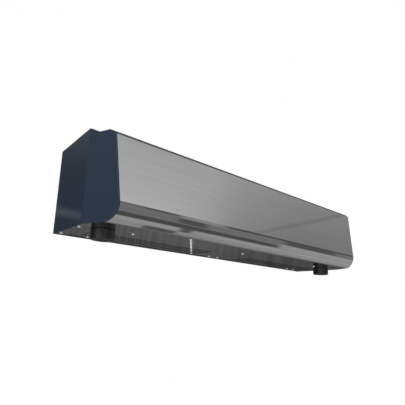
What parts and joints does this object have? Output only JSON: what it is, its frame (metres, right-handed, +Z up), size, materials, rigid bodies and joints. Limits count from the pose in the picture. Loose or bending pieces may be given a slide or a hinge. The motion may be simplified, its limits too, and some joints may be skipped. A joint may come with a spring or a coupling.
{
  "type": "air curtain",
  "caption": "Wall-hung over-door air curtain: long sheet steel casing with turned-in end caps, bent front cover, twin tangential fans and a swing-down outlet panel held by round knobs.",
  "frame": {"origin": "centre of the wall plate's four bolt holes, on the wall", "axes": "+X along the unit, +Y into the wall, +Z up; the unit blows down and its front faces -Y"},
  "size_m": [1.206, 0.324, 0.3063],
  "materials": {
    "galvanised_sheet": "galvanised sheet with a faint spangle",
    "painted_sheet": "satin slate powder coat",
    "stainless_front": "stainless sheet, finely brushed along its length",
    "satin_outlet": "dark satin sheet",
    "cap_plastic": "moulded slate-blue plastic, fine texture",
    "zinc_screw": "zinc plated",
    "bright_screw": "bright nickel plated",
    "hinge_steel": "plated steel",
    "knob_plastic": "semi-gloss black moulding",
    "gland_plastic": "black nylon",
    "fan_aluminium": "plain rolled aluminium",
    "rubber": "moulded rubber",
    "bronze": "sintered bronze",
    "ground_steel": "ground steel",
    "core_laminations": "stacked electrical steel",
    "copper_windings": "varnished copper wire",
    "motor_paint": "grey paint",
    "ivory_plastic": "moulded terminal plastic",
    "capacitor_can": "white plastic can",
    "cable_sheath": "flexible sheath"
  },
  "bodies": {
    "casing": {"wall_plate": "galvanised_sheet", "wall_lock_screws": "zinc_screw", "back_panel": "painted_sheet", "top_cover": "painted_sheet", "top_cover_screws": "zinc_screw", "end_cap_left": "cap_plastic", "end_cap_right": "cap_plastic", "end_cap_screws": "bright_screw", "front_cover": "stainless_front", "front_cover_screws": "bright_screw", "front_partition": "galvanised_sheet", "bulkhead_left": "galvanised_sheet", "bulkhead_right": "galvanised_sheet", "inner_bulkhead_left": "galvanised_sheet", "inner_bulkhead_right": "galvanised_sheet", "bottom_strip_left": "satin_outlet", "bottom_strip_right": "satin_outlet", "hanging_nuts": "zinc_screw", "cable_gland": "gland_plastic", "gland_nut": "gland_plastic", "gland_locknut": "gland_plastic", "scroll_left": "galvanised_sheet", "scroll_right": "galvanised_sheet", "tongue_left": "galvanised_sheet", "tongue_right": "galvanised_sheet", "stator_core": "core_laminations", "stator_windings": "copper_windings", "motor_bell_left": "motor_paint", "motor_bell_right": "motor_paint", "motor_bearings": "ground_steel", "motor_rubber_rings": "rubber", "motor_bracket": "galvanised_sheet", "motor_clamps": "galvanised_sheet", "motor_clamp_screws": "zinc_screw", "axle_bearings": "bronze", "bearing_rubbers": "rubber", "bearing_housings": "galvanised_sheet", "hinge_fixed_leaves": "hinge_steel", "hinge_pins": "hinge_steel", "control_box": "galvanised_sheet", "control_lid": "galvanised_sheet", "terminal_block": "ivory_plastic", "capacitor": "capacitor_can", "motor_cable": "cable_sheath", "cable_grommet": "rubber"},
    "fan_rotor": {"impeller_left": "fan_aluminium", "impeller_right": "fan_aluminium", "hub_rubbers": "rubber", "hub_bushes": "bronze", "motor_shaft": "ground_steel", "rotor_core": "core_laminations"},
    "outlet_panel": {"service_panel": "satin_outlet", "outlet_grille_left": "satin_outlet", "outlet_grille_right": "satin_outlet", "hinge_moving_leaves": "hinge_steel", "hinge_screws": "bright_screw"},
    "left_knob": {"knob_left": "knob_plastic", "latch_stud_left": "zinc_screw"},
    "right_knob": {"knob_right": "knob_plastic", "latch_stud_right": "zinc_screw"}
  },
  "joints": [
    {"name": "fan_spin", "type": "hinge", "parent": "casing", "child": "fan_rotor", "pos_m": [0, -0.124, 0.02], "axis": [1, 0, 0], "continuous": true},
    {"name": "panel_swing", "type": "hinge", "parent": "casing", "child": "outlet_panel", "pos_m": [0, -0.03, -0.1268], "axis": [1, 0, 0], "range_deg": [0, 80]},
    {"name": "knob_left_turn", "type": "hinge", "parent": "outlet_panel", "child": "left_knob", "pos_m": [-0.5272, -0.182, -0.144], "axis": [0, 0, 1], "range_deg": [0, 90]},
    {"name": "knob_right_turn", "type": "hinge", "parent": "outlet_panel", "child": "right_knob", "pos_m": [0.5272, -0.182, -0.144], "axis": [0, 0, 1], "range_deg": [0, 90]}
  ]
}
